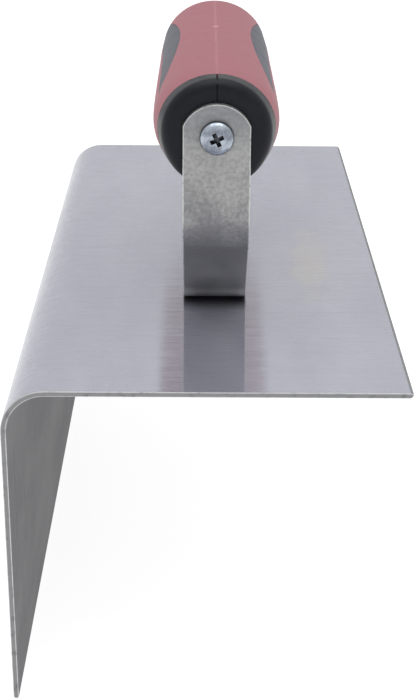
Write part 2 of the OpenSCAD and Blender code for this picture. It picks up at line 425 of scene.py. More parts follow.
class Tree:
    """Adds and joins nodes in one material, world or group."""

    def __init__(self, tree: bpy.types.NodeTree) -> None:
        """Takes a node tree to work in.

        Args:
            tree: The node tree.
        """
        self.tree = tree

    def add(
        self, kind: str, inputs: dict[str | int, Value] | None = None, **settings: object
    ) -> bpy.types.Node:
        """Adds a node, sets it and joins its inputs.

        Args:
            kind: The node's type.
            inputs: A constant or another node's socket for each named input.
            **settings: The node's own settings.

        Returns:
            The node.
        """
        node = self.tree.nodes.new(kind)
        for name, value in settings.items():
            setattr(node, name, value)
        for name, value in (inputs or {}).items():
            self.feed(node.inputs[name], value)
        return node

    def feed(self, socket: Socket, value: Value) -> None:
        """Gives a socket its constant or its link.

        Args:
            socket: The socket to feed.
            value: A constant, or another node's socket.
        """
        if isinstance(value, bpy.types.NodeSocket):
            self.tree.links.new(value, socket)
        else:
            socket.default_value = value

    def calc(self, operation: str, *values: Value) -> Socket:
        """Adds a sum or another calculation.

        Args:
            operation: Blender's name for it.
            *values: Its numbers or sockets.

        Returns:
            The result's socket.
        """
        node = self.add("ShaderNodeMath", dict(enumerate(values)), operation=operation)
        return node.outputs[0]

    def distance(self, right: Socket, ahead: Socket) -> Socket:
        """Works out the length of a flat step from its two legs.

        Args:
            right: The first leg.
            ahead: The second leg.

        Returns:
            The step's length.
        """
        squared = self.calc("MULTIPLY_ADD", right, right, self.calc("MULTIPLY", ahead, ahead))
        return self.calc("SQRT", squared)

    def ramp(
        self, value: Value, low: float, high: float, to_low: float = 0.0, to_high: float = 1.0
    ) -> Socket:
        """Maps a value smoothly from one range to another.

        Args:
            value: The value to map.
            low: The value that gives to_low.
            high: The value that gives to_high.
            to_low: The lowest result.
            to_high: The highest result.

        Returns:
            The result's socket.
        """
        inputs = {"Value": value, "From Min": low, "From Max": high, "To Min": to_low, "To Max": to_high}
        node = self.add("ShaderNodeMapRange", inputs, interpolation_type="SMOOTHSTEP")
        return node.outputs["Result"]

    def blend(self, share: Value, first: Value, second: Value) -> Socket:
        """Mixes two colours.

        Args:
            share: How much of the second colour shows.
            first: The first colour.
            second: The second colour.

        Returns:
            The mixed colour's socket.
        """
        node = self.add("ShaderNodeMix", data_type="RGBA", clamp_factor=True)
        self.feed(node.inputs[0], share)
        self.feed(node.inputs[6], first)
        self.feed(node.inputs[7], second)
        return node.outputs[2]

    def split(self, vector: Value) -> tuple[Socket, Socket, Socket]:
        """Takes a vector apart.

        Args:
            vector: The vector's socket.

        Returns:
            The sockets of its X, Y and Z.
        """
        node = self.add("ShaderNodeSeparateXYZ", {"Vector": vector})
        return node.outputs[0], node.outputs[1], node.outputs[2]

    def coordinates(self) -> Socket:
        """Returns the socket of the piece's own coordinates."""
        return self.add("ShaderNodeTexCoord").outputs["Object"]


class Effect(Enum):
    """Surface effects that several finishes share, as node groups."""

    MOTTLE = "Mottle"
    DRAG_LINES = "Drag lines"
    MOULD_GRAIN = "Mould grain"


class EffectShop:
    """Builds each shared effect once and hands it to every finish that asks."""

    def __init__(self) -> None:
        """Builds the groups."""
        self.groups = {
            Effect.MOTTLE: self._mottle(),
            Effect.DRAG_LINES: self._drag_lines(),
            Effect.MOULD_GRAIN: self._mould_grain(),
        }

    @staticmethod
    def _group(
        effect: Effect, inputs: dict[str, float], output: str
    ) -> tuple[Tree, bpy.types.Node, bpy.types.Node]:
        """Starts a node group.

        Args:
            effect: The effect that it is for.
            inputs: Its number inputs with their usual values.
            output: Its number output.

        Returns:
            Its tree, its input node and its output node.
        """
        group = bpy.data.node_groups.new(effect.value, "ShaderNodeTree")
        group.interface.new_socket("Vector", in_out="INPUT", socket_type="NodeSocketVector")
        for name, usual in inputs.items():
            socket = group.interface.new_socket(name, in_out="INPUT", socket_type="NodeSocketFloat")
            socket.default_value = usual
        group.interface.new_socket(output, in_out="OUTPUT", socket_type="NodeSocketFloat")
        tree = Tree(group)
        return tree, tree.add("NodeGroupInput"), tree.add("NodeGroupOutput")

    def _mottle(self) -> bpy.types.NodeTree:
        """Cloudy patches broken up by finer ones: tumbled metal, dust, handling."""
        tree, given, result = self._group(
            Effect.MOTTLE, {"Patches per metre": 100.0, "Low": 0.4, "High": 0.6, "Broken": 0.35}, "Mask"
        )
        scale = given.outputs["Patches per metre"]
        clouds = tree.add(
            "ShaderNodeTexNoise",
            {"Vector": given.outputs["Vector"], "Scale": scale, "Detail": 4.0, "Roughness": 0.6},
        )
        crumbs = tree.add(
            "ShaderNodeTexNoise",
            {
                "Vector": given.outputs["Vector"],
                "Scale": tree.calc("MULTIPLY", scale, 9.0),
                "Detail": 2.0,
                "Roughness": 0.7,
            },
        )
        centred = tree.calc("SUBTRACT", crumbs.outputs[0], 0.5)
        mixed = tree.calc("MULTIPLY_ADD", centred, given.outputs["Broken"], clouds.outputs[0])
        mask = tree.add(
            "ShaderNodeMapRange",
            {"Value": mixed, "From Min": given.outputs["Low"], "From Max": given.outputs["High"]},
            interpolation_type="SMOOTHSTEP",
        )
        tree.feed(result.inputs["Mask"], mask.outputs["Result"])
        return tree.tree

    def _drag_lines(self) -> bpy.types.NodeTree:
        """Long fine lines that a belt or a roll leaves along one direction."""
        tree, given, result = self._group(
            Effect.DRAG_LINES,
            {"Along X": 8.0, "Along Y": 900.0, "Along Z": 900.0, "Low": 0.35, "High": 0.65},
            "Mask",
        )
        stretch = tree.add(
            "ShaderNodeCombineXYZ",
            {0: given.outputs["Along X"], 1: given.outputs["Along Y"], 2: given.outputs["Along Z"]},
        )
        drawn = tree.add(
            "ShaderNodeVectorMath",
            {0: given.outputs["Vector"], 1: stretch.outputs[0]},
            operation="MULTIPLY",
        )
        lines = tree.add(
            "ShaderNodeTexNoise",
            {"Vector": drawn.outputs[0], "Scale": 1.0, "Detail": 3.0, "Roughness": 0.65},
        )
        mask = tree.add(
            "ShaderNodeMapRange",
            {"Value": lines.outputs[0], "From Min": given.outputs["Low"], "From Max": given.outputs["High"]},
        )
        tree.feed(result.inputs["Mask"], mask.outputs["Result"])
        return tree.tree

    def _mould_grain(self) -> bpy.types.NodeTree:
        """The fine pebbled grain that a spark-eroded mould gives plastic or rubber."""
        tree, given, result = self._group(
            Effect.MOULD_GRAIN, {"Grains per metre": 2500.0, "Soft": 0.5}, "Height"
        )
        pebbles = tree.add(
            "ShaderNodeTexVoronoi",
            {"Vector": given.outputs["Vector"], "Scale": given.outputs["Grains per metre"]},
            feature="SMOOTH_F1",
        )
        haze = tree.add(
            "ShaderNodeTexNoise",
            {
                "Vector": given.outputs["Vector"],
                "Scale": tree.calc("MULTIPLY", given.outputs["Grains per metre"], 0.4),
                "Detail": 3.0,
            },
        )
        softened = tree.calc("MULTIPLY", haze.outputs[0], given.outputs["Soft"])
        tree.feed(result.inputs["Height"], tree.calc("ADD", pebbles.outputs[0], softened))
        return tree.tree

    def use(self, tree: Tree, effect: Effect, vector: Value, **values: Value) -> Socket:
        """Places an effect in a material.

        Args:
            tree: The material's tree.
            effect: The effect to place.
            vector: The coordinates that it follows.
            **values: Its inputs, with _ for each space in a name.

        Returns:
            The effect's output.
        """
        node = tree.add("ShaderNodeGroup", node_tree=self.groups[effect])
        tree.feed(node.inputs["Vector"], vector)
        for name, value in values.items():
            tree.feed(node.inputs[name.replace("_", " ")], value)
        return node.outputs[0]


Colour = tuple[float, float, float, float]


def shade(red: float, green: float, blue: float) -> Colour:
    """Returns a linear colour with full alpha.

    Args:
        red: Red, from 0 to 1.
        green: Green, from 0 to 1.
        blue: Blue, from 0 to 1.

    Returns:
        The colour.
    """
    return (red, green, blue, 1.0)


def start_material(name: str) -> tuple[bpy.types.Material, Tree, bpy.types.Node]:
    """Starts a material that holds one Principled shader.

    Args:
        name: The material's name.

    Returns:
        The material, its tree and its shader.
    """
    material = bpy.data.materials.new(name)
    material.use_nodes = True
    tree = Tree(material.node_tree)
    tree.tree.nodes.clear()
    shader = tree.add("ShaderNodeBsdfPrincipled")
    output = tree.add("ShaderNodeOutputMaterial")
    tree.feed(output.inputs["Surface"], shader.outputs[0])
    return material, tree, shader


def add_relief(
    tree: Tree, shader: bpy.types.Node, height: Socket, strength: float, depth: float
) -> None:
    """Gives a material a fine relief.

    Args:
        tree: The material's tree.
        shader: The material's shader.
        height: The relief's height.
        strength: How strongly the relief shades.
        depth: How far a height of 1 stands out.
    """
    relief = tree.add("ShaderNodeBump", {"Strength": strength, "Distance": depth, "Height": height})
    tree.feed(shader.inputs["Normal"], relief.outputs[0])


@dataclass(frozen=True)
class RolledSheet:
    """Stainless sheet, ground across its length so that reflections draw out along it."""

    tone: Colour = shade(0.355, 0.36, 0.42)
    cloud: Colour = shade(0.415, 0.42, 0.475)
    # painted shade on the faces inside the corner
    corner_shade_tone: Colour = shade(0.09, 0.089, 0.095)
    stain: Colour = shade(0.48, 0.46, 0.41)
    line_tone: Colour = shade(0.56, 0.56, 0.60)
    stain_at: tuple[float, float] = (32 * MM, -22 * MM)
    stain_size: tuple[float, float] = (9 * MM, 42 * MM)
    # painted shade on the blade under the bracket's lower bend, and how far it reaches
    foot_painted_shade: Colour = shade(0.018, 0.018, 0.021)
    shade_from: float = 17 * MM
    shade_full: float = 4 * MM
    skin: tuple[float, float] = (0.6 * MM, 0.2 * MM)
    roughness: float = 0.13
    drawn_out: float = 1.0
    metal_share: float = 0.64
    lines: float = 15000.0
    line_lean: float = 0.55

    def make(self, shop: EffectShop) -> bpy.types.Material:
        """Makes the material.

        Args:
            shop: The shared effects.

        Returns:
            The material.
        """
        material, tree, shader = start_material("rolled_sheet")
        here = tree.coordinates()
        lengthwise = tree.add("ShaderNodeMapping", {"Vector": here, "Scale": (1.0, 0.3, 1.0)})
        clouds = shop.use(
            tree,
            Effect.MOTTLE,
            lengthwise.outputs[0],
            Patches_per_metre=34.0,
            Low=0.3,
            High=0.72,
            Broken=0.0,
        )
        lines = shop.use(tree, Effect.DRAG_LINES, here, Along_X=14.0, Along_Y=self.lines, Along_Z=14.0)
        tone = tree.blend(clouds, self.tone, self.cloud)
        stained = tree.blend(self._stain_mask(tree, here), tone, self.stain)
        lined = tree.blend(tree.calc("MULTIPLY", lines, 0.1), stained, self.line_tone)
        # painted shade inside the corner; the same mask also makes it rougher there
        corner_shade = self._corner_shade_mask(tree, here)
        # painted shade on the blade under the bracket's lower bend
        foot_shaded = tree.blend(self._foot_shade_mask(tree, here), lined, self.foot_painted_shade)
        tree.feed(shader.inputs["Base Color"], tree.blend(corner_shade, foot_shaded, self.corner_shade_tone))
        shader.inputs["Metallic"].default_value = self.metal_share
        rough = tree.ramp(clouds, 0.0, 1.0, self.roughness - 0.02, self.roughness + 0.03)
        tree.feed(shader.inputs["Roughness"], tree.calc("MULTIPLY_ADD", corner_shade, 0.2, rough))
        shader.inputs["Anisotropic"].default_value = self.drawn_out
        along = tree.add("ShaderNodeCombineXYZ", {0: 0.0, 1: 1.0, 2: 0.0})
        tree.feed(shader.inputs["Tangent"], along.outputs[0])
        lean = tree.calc("MULTIPLY", tree.calc("SUBTRACT", lines, 0.5), self.line_lean)
        leaning = tree.add("ShaderNodeCombineXYZ", {0: 0.0, 1: lean, 2: 0.0})
        facing = tree.add("ShaderNodeNewGeometry").outputs["Normal"]
        leant = tree.add("ShaderNodeVectorMath", {0: facing, 1: leaning.outputs[0]}, operation="ADD")
        level = tree.add("ShaderNodeVectorMath", {0: leant.outputs[0]}, operation="NORMALIZE")
        tree.feed(shader.inputs["Normal"], level.outputs[0])
        return material

    def _stain_mask(self, tree: Tree, here: Socket) -> Socket:
        """Marks a faint warm stain near the top leaf's free edge.

        Args:
            tree: The material's tree.
            here: The piece's own coordinates.

        Returns:
            The mask.
        """
        across, along, up = tree.split(here)
        right = tree.calc("DIVIDE", tree.calc("SUBTRACT", across, self.stain_at[0]), self.stain_size[0])
        back = tree.calc("DIVIDE", tree.calc("SUBTRACT", along, self.stain_at[1]), self.stain_size[1])
        far = tree.distance(right, back)
        cloudy = tree.add("ShaderNodeTexNoise", {"Vector": here, "Scale": 60.0, "Detail": 3.0})
        wavy = tree.calc("MULTIPLY_ADD", tree.calc("SUBTRACT", cloudy.outputs[0], 0.5), 1.6, far)
        spot = tree.ramp(wavy, 1.0, 0.35, 0.0, 0.5)
        on_top = tree.ramp(up, Blade.sheet - self.skin[0], Blade.sheet - self.skin[1])
        return tree.calc("MULTIPLY", spot, on_top)

    def _foot_shade_mask(self, tree: Tree, here: Socket) -> Socket:
        """Marks the painted shade in the wedge under the bracket's lower bend, for its contact shadow and
        dark reflection.

        Args:
            tree: The material's tree.
            here: The piece's own coordinates.

        Returns:
            The mask, strongest where bracket and blade meet.
        """
        _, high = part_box("bracket")
        across, along, _ = tree.split(here)
        meeting = high.y - Bracket.foot_length
        deep = tree.ramp(along, meeting - self.shade_from, meeting - self.shade_full, 0.0, 0.93)
        ahead = tree.ramp(along, meeting + 3 * MM, meeting + MM)
        sides = tree.ramp(tree.calc("ABSOLUTE", across), high.x + 0.4 * MM, high.x - 0.2 * MM)
        return tree.calc("MULTIPLY", tree.calc("MULTIPLY", deep, ahead), sides)

    def _corner_shade_mask(self, tree: Tree, here: Socket) -> Socket:
        """Marks the working faces inside the corner, which get a painted shade and a higher roughness.

        Args:
            tree: The material's tree.
            here: The piece's own coordinates.

        Returns:
            The mask, 1 inside the corner.
        """
        leaf = CAD_BOX[0].x
        face = leaf + Blade.sheet
        across, _, up = tree.split(here)
        beside = tree.ramp(across, face - self.skin[0], face - self.skin[1])
        below = tree.ramp(up, *self.skin)
        radius = Blade.bend_radius
        right = tree.calc("SUBTRACT", across, leaf + radius)
        rise = tree.calc("SUBTRACT", up, Blade.sheet - radius)
        in_bend = tree.ramp(tree.distance(right, rise), radius - 0.7 * MM, radius - 1.1 * MM)
        past = tree.calc("MAXIMUM", tree.ramp(right, -MM, 0.0), tree.ramp(rise, 0.0, -MM))
        inner = tree.calc("MAXIMUM", in_bend, past)
        return tree.calc("MULTIPLY", tree.calc("MULTIPLY", beside, below), inner)


@dataclass(frozen=True)
class SheetEdge:
    """Sheared and deburred edge of sheet or strip, brighter than the faces."""

    name: str = "deburred_edge"
    tone: Colour = shade(0.52, 0.52, 0.53)
    worn: Colour = shade(0.36, 0.36, 0.37)
    roughness: float = 0.4

    def make(self, shop: EffectShop) -> bpy.types.Material:
        """Makes the material.

        Args:
            shop: The shared effects.

        Returns:
            The material.
        """
        material, tree, shader = start_material(self.name)
        here = tree.coordinates()
        nicks = shop.use(tree, Effect.MOTTLE, here, Patches_per_metre=420.0, Low=0.5, High=0.72, Broken=0.5)
        tree.feed(shader.inputs["Base Color"], tree.blend(nicks, self.tone, self.worn))
        shader.inputs["Metallic"].default_value = 1.0
        rough = tree.ramp(nicks, 0.0, 1.0, self.roughness, self.roughness + 0.15)
        tree.feed(shader.inputs["Roughness"], rough)
        add_relief(tree, shader, nicks, 0.3, 2e-5)
        return material


@dataclass(frozen=True)
class TumbledStrip:
    """Strip steel tumbled after bending: dull, mottled, pitted; painted light on slope and lower bend."""

    crown: Colour = shade(0.275, 0.28, 0.29)
    bright: Colour = shade(0.37, 0.37, 0.365)
    dull: Colour = shade(0.27, 0.27, 0.28)
    # painted light on the slope, lighter than the upright above
    slope_light: Colour = shade(0.38, 0.38, 0.39)
    # painted highlight along the strip's lower bend
    bend_highlight: Colour = shade(0.80, 0.80, 0.82)
    pit: Colour = shade(0.17, 0.17, 0.175)
    dull_below: float = 26 * MM
    bright_above: float = 53 * MM
    crown_over: tuple[float, float] = (56 * MM, 68 * MM)
    pitted_over: tuple[float, float] = (24 * MM, 32 * MM)
    slope_light_under: tuple[float, float] = (26 * MM, 14 * MM)
    bend_highlight_under: tuple[float, float] = (9 * MM, 5 * MM)

    def make(self, shop: EffectShop) -> bpy.types.Material:
        """Makes the material.

        Args:
            shop: The shared effects.

        Returns:
            The material.
        """
        material, tree, shader = start_material("tumbled_strip")
        here = tree.coordinates()
        _, _, height = tree.split(here)
        clouds = shop.use(tree, Effect.MOTTLE, here, Patches_per_metre=95.0, Low=0.3, High=0.7, Broken=0.5)
        pits = shop.use(tree, Effect.MOTTLE, here, Patches_per_metre=800.0, Low=0.4, High=0.64, Broken=0.7)
        low_down = tree.ramp(height, self.bright_above, self.dull_below)
        patchy = tree.calc("MULTIPLY_ADD", tree.calc("SUBTRACT", clouds, 0.5), 0.7, low_down)
        tone = tree.blend(tree.ramp(patchy, 0.05, 0.95), self.bright, self.dull)
        toned = tree.blend(tree.ramp(height, *self.crown_over), tone, self.crown)
        pitting = tree.calc("MULTIPLY", pits, tree.ramp(height, *self.pitted_over, 0.08, 0.4))
        pitted = tree.blend(pitting, toned, self.pit)
        # painted light on the slope
        slope = tree.blend(tree.ramp(height, *self.slope_light_under), pitted, self.slope_light)
        # painted highlight along the lower bend
        at_bend = tree.ramp(height, *self.bend_highlight_under)
        tree.feed(shader.inputs["Base Color"], tree.blend(at_bend, slope, self.bend_highlight))
        shader.inputs["Metallic"].default_value = 1.0
        tree.feed(shader.inputs["Roughness"], tree.ramp(clouds, 0.0, 1.0, 0.48, 0.6))
        add_relief(tree, shader, pits, 0.45, 3e-5)
        return material


@dataclass(frozen=True)
class ZincPlate:
    """Bright bluish zinc on a small turned or pressed part."""

    name: str = "zinc_plate"
    tone: Colour = shade(0.43, 0.48, 0.54)
    dull: Colour = shade(0.20, 0.22, 0.26)
    roughness: float = 0.24

    def make(self, shop: EffectShop) -> bpy.types.Material:
        """Makes the material.

        Args:
            shop: The shared effects.

        Returns:
            The material.
        """
        material, tree, shader = start_material(self.name)
        here = tree.coordinates()
        clouds = shop.use(tree, Effect.MOTTLE, here, Patches_per_metre=260.0, Low=0.35, High=0.7, Broken=0.3)
        tree.feed(shader.inputs["Base Color"], tree.blend(clouds, self.tone, self.dull))
        shader.inputs["Metallic"].default_value = 1.0
        rough = tree.ramp(clouds, 0.0, 1.0, self.roughness, self.roughness + 0.14)
        tree.feed(shader.inputs["Roughness"], rough)
        add_relief(tree, shader, clouds, 0.25, 2e-5)
        return material


@dataclass(frozen=True)
class HardPlastic:
    """Satin black plastic of the handle's core."""

    tone: Colour = shade(0.004, 0.0042, 0.0058)
    dusty: Colour = shade(0.0075, 0.008, 0.010)
    roughness: float = 0.38

    def make(self, shop: EffectShop) -> bpy.types.Material:
        """Makes the material.

        Args:
            shop: The shared effects.

        Returns:
            The material.
        """
        material, tree, shader = start_material("hard_core")
        here = tree.coordinates()
        dust = shop.use(tree, Effect.MOTTLE, here, Patches_per_metre=160.0, Low=0.42, High=0.75, Broken=0.5)
        grain = shop.use(tree, Effect.MOULD_GRAIN, here, Grains_per_metre=3200.0)
        tree.feed(shader.inputs["Base Color"], tree.blend(dust, self.tone, self.dusty))
        rough = tree.ramp(dust, 0.0, 1.0, self.roughness, self.roughness + 0.12)
        tree.feed(shader.inputs["Roughness"], rough)
        shader.inputs["Specular IOR Level"].default_value = 0.22
        shader.inputs["Specular Tint"].default_value = shade(0.88, 0.9, 1.0)
        add_relief(tree, shader, grain, 0.2, 2e-5)
        return material


@dataclass(frozen=True)
class SoftRubber:
    """Matte soft-touch rubber with a mould grain and a little dust."""

    name: str
    tone: Colour
    dusty: Colour
    sheen: float = 0.05
    seam: bool = False
    seam_tone: Colour = shade(0.44, 0.22, 0.25)
    seam_width: float = 0.6 * MM
    gate_tone: Colour = shade(0.55, 0.33, 0.36)
    gate_y: float = -8 * MM
    gate_radii: tuple[float, float] = (1.6 * MM, 0.6 * MM)
    crest: tuple[float, float] = (66 * MM, 70 * MM)

    def make(self, shop: EffectShop) -> bpy.types.Material:
        """Makes the material.

        Args:
            shop: The shared effects.

        Returns:
            The material.
        """
        material, tree, shader = start_material(self.name)
        here = tree.coordinates()
        dust = shop.use(tree, Effect.MOTTLE, here, Patches_per_metre=70.0, Low=0.35, High=0.75, Broken=0.4)
        grain = shop.use(tree, Effect.MOULD_GRAIN, here, Grains_per_metre=2400.0)
        colour = tree.blend(dust, self.tone, self.dusty)
        height = tree.calc("MULTIPLY", grain, 0.3)
        if self.seam:
            line = self._seam_mask(tree, here)
            gate = self._gate_mask(tree, here)
            colour = tree.blend(tree.calc("MULTIPLY", line, 0.22), colour, self.seam_tone)
            colour = tree.blend(tree.calc("MULTIPLY", gate, 0.5), colour, self.gate_tone)
            height = tree.calc("MULTIPLY_ADD", line, 1.2, height)
        tree.feed(shader.inputs["Base Color"], colour)
        tree.feed(shader.inputs["Roughness"], tree.ramp(dust, 0.0, 1.0, 0.58, 0.74))
        shader.inputs["Sheen Weight"].default_value = self.sheen
        shader.inputs["Sheen Roughness"].default_value = 0.45
        shader.inputs["Specular IOR Level"].default_value = 0.42
        add_relief(tree, shader, height, 0.35, 5e-5)
        return material

    def _gate_mask(self, tree: Tree, here: Socket) -> Socket:
        """Marks the small scar that the mould's gate left on the seam.

        Args:
            tree: The material's tree.
            here: The piece's own coordinates.

        Returns:
            The mask, 1 on the scar.
        """
        across, along, up = tree.split(here)
        away = tree.calc("SUBTRACT", along, self.gate_y)
        far = tree.distance(across, away)
        return tree.calc("MULTIPLY", tree.ramp(far, *self.gate_radii), tree.ramp(up, *self.crest))

    def _seam_mask(self, tree: Tree, here: Socket) -> Socket:
        """Marks the mould's parting line along the top of the sleeve.

        Args:
            tree: The material's tree.
            here: The piece's own coordinates.

        Returns:
            The mask, 1 on the line.
        """
        across, _, up = tree.split(here)
        away = tree.calc("ABSOLUTE", across)
        line = tree.ramp(away, self.seam_width, self.seam_width * 0.4)
        wavering = tree.add("ShaderNodeTexNoise", {"Vector": here, "Scale": 45.0, "Detail": 2.0})
        strength = tree.ramp(wavering.outputs[0], 0.35, 0.6, 0.35, 1.0)
        on_top = tree.ramp(up, *self.crest)
        return tree.calc("MULTIPLY", tree.calc("MULTIPLY", line, strength), on_top)


@dataclass
class Finishes:
    """Every material that the trowel's pieces are dressed in."""

    shop: EffectShop = field(default_factory=EffectShop)

    def __post_init__(self) -> None:
        """Makes the materials."""
        self.sheet = RolledSheet().make(self.shop)
        self.sheet_edge = SheetEdge().make(self.shop)
        self.cut_end = SheetEdge(
            "sheared_end", shade(0.235, 0.235, 0.24), shade(0.19, 0.19, 0.195), 0.45
        ).make(self.shop)
        self.strip = TumbledStrip().make(self.shop)
        self.strip_edge = SheetEdge(
            "strip_edge", shade(0.5, 0.5, 0.5), shade(0.24, 0.24, 0.24), 0.4
        ).make(self.shop)
        self.rivet = ZincPlate(
            "rivet_steel", shade(0.45, 0.45, 0.46), shade(0.33, 0.33, 0.34), 0.36
        ).make(self.shop)
        self.zinc = ZincPlate().make(self.shop)
        self.recess = ZincPlate(
            "recess_shade", shade(0.10, 0.105, 0.12), shade(0.05, 0.05, 0.06), 0.5
        ).make(self.shop)
        self.core = HardPlastic().make(self.shop)
        self.sleeve = SoftRubber(
            "soft_sleeve", shade(0.268, 0.080, 0.098), shade(0.305, 0.102, 0.124), seam=True
        ).make(self.shop)
        self.pad = SoftRubber(
            "soft_pad", shade(0.048, 0.051, 0.068), shade(0.070, 0.074, 0.094)
        ).make(self.shop)


def dress(piece: bpy.types.Object, *materials: bpy.types.Material) -> None:
    """Gives a piece its materials, in the order of its faces' numbers.

    Args:
        piece: The piece to dress.
        *materials: The materials.
    """
    piece.data.materials.clear()
    for material in materials:
        piece.data.materials.append(material)


def hand_over(piece: bpy.types.Object, slot: str, *nodes: str) -> None:
    """Puts a finished piece on the trowel in place of its CAD nodes.

    Args:
        piece: The finished piece.
        slot: The record's material slot of the piece; not used.
        *nodes: The CAD nodes that it stands for.
    """
    Bench.clear()
    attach(piece, BODY)
    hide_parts(*nodes)
    LOG.info(
        "%s: %d faces, %d open edges, for %s",
        piece.name,
        len(piece.data.polygons),
        Bench.open_edges(piece),
        ", ".join(nodes),
    )


# ------------------------------------------------------------------- blade


@dataclass
class Blade:
    """The sheet blade: top leaf, bend and side leaf in one piece."""

    sheet: float = 1.6 * MM
    bend_radius: float = 12.7 * MM
    arris: float = 0.28 * MM
    corner: float = 0.8 * MM
    bend_steps: int = 20
    countersink: float = 1.2 * MM
    countersink_radius: float = 3.6 * MM
    hole_radius: float = 2.4 * MM
    hairline: float = 0.05 * MM
    # The free edge measured 0.087 mm past where it is drawn, so it is drawn this much short of
    # the CAD's box. Why it grows was not found.
    shy: float = 0.09 * MM

    def build(self, finishes: Finishes) -> bpy.types.Object:
        """Bends the sheet, rounds its corners and countersinks its holes.

        Args:
            finishes: The materials.

        Returns:
            The blade.
        """
        low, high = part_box("blade")
        high.x -= self.shy
        centre = Vector((low.x + self.bend_radius, 0, high.z - self.bend_radius))
        Bench.clear()
        bpy.ops.mesh.primitive_plane_add(
            size=1.0, location=(low.x + self.sheet / 2, (low.y + high.y) / 2, low.z)
        )
        bpy.context.object.scale = (self.sheet, high.y - low.y, 1)
        blade = Bench.settle("blade_sheet")
        dress(blade, finishes.sheet, finishes.sheet_edge, finishes.cut_end)
        Bench.edit(blade)
        Bench.extrude(Vector((0, 0, centre.z - low.z)))
        bpy.ops.mesh.spin(steps=self.bend_steps, angle=-math.pi / 2, center=centre, axis=(0, 1, 0))
        Bench.extrude(Vector((high.x - centre.x, 0, 0)))
        Bench.mend(blade)
        self._round_corners(blade, low, high)
        self._number_ends(blade, low, high)
        Bench.break_edges(blade, self.arris)
        self._drill(blade)
        Bench.smooth(blade, 35)
        return blade

    def _round_corners(self, blade: bpy.types.Object, low: Vector, high: Vector) -> None:
        """Takes the points off the sheet's four corners.

        Args:
            blade: The bent sheet.
            low: The blade's lowest corner.
            high: The blade's highest corner.
        """
        Bench.edit(blade)

        def at_corner(point: Vector) -> bool:
            """Tells whether a point is at a corner of the bent sheet."""
            at_end = min(abs(point.y - low.y), abs(point.y - high.y)) < TINY
            return at_end and (abs(point.x - high.x) < TINY or abs(point.z - low.z) < TINY)

        bpy.ops.mesh.select_all(action="DESELECT")
        bpy.ops.mesh.select_mode(type="EDGE")
        mesh = bmesh.from_edit_mesh(blade.data)
        for edge in mesh.edges:
            ends = [point.co for point in edge.verts]
            edge.select = all(map(at_corner, ends)) and edge.calc_length() < 2 * self.sheet
        mesh.select_flush(True)
        bmesh.update_edit_mesh(blade.data)
        bpy.ops.mesh.bevel(offset=self.corner, segments=4, affect="EDGES")
        Bench.clear()

    @staticmethod
    def _number_ends(blade: bpy.types.Object, low: Vector, high: Vector) -> None:
        """Gives the sheared faces all round the sheet the third material.

        Args:
            blade: The bent sheet.
            low: The blade's lowest corner.
            high: The blade's highest corner.
        """
        for face in blade.data.polygons:
            points = [blade.data.vertices[i].co for i in face.vertices]
            ends = (
                max(point.y for point in points) - low.y,
                high.y - min(point.y for point in points),
                high.x - min(point.x for point in points),
                max(point.z for point in points) - low.z,
            )
            if min(ends) < 0.9 * MM:
                face.material_index = 2

    def _drill(self, blade: bpy.types.Object) -> None:
        """Cuts the two countersunk rivet holes.

        Args:
            blade: The bevelled sheet.
        """
        for node in ("rivet_front", "rivet_rear"):
            low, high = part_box(node)
            where = Vector(((low.x + high.x) / 2, (low.y + high.y) / 2, 0))
            wide, narrow = self.countersink_radius + self.hairline, self.hole_radius
            profile = [(wide, -MM), (wide, 0), (narrow, self.countersink), (narrow, 3 * MM)]
            Bench.cut(blade, turn_piece("hole", profile, Turn.UP, where))

    def finish(self, finishes: Finishes) -> None:
        """Builds the blade, dresses it and hands it over.

        Args:
            finishes: The materials.
        """
        blade = self.build(finishes)
        hand_over(blade, "blade_steel", "blade")


# ----------------------------------------------------------------- bracket


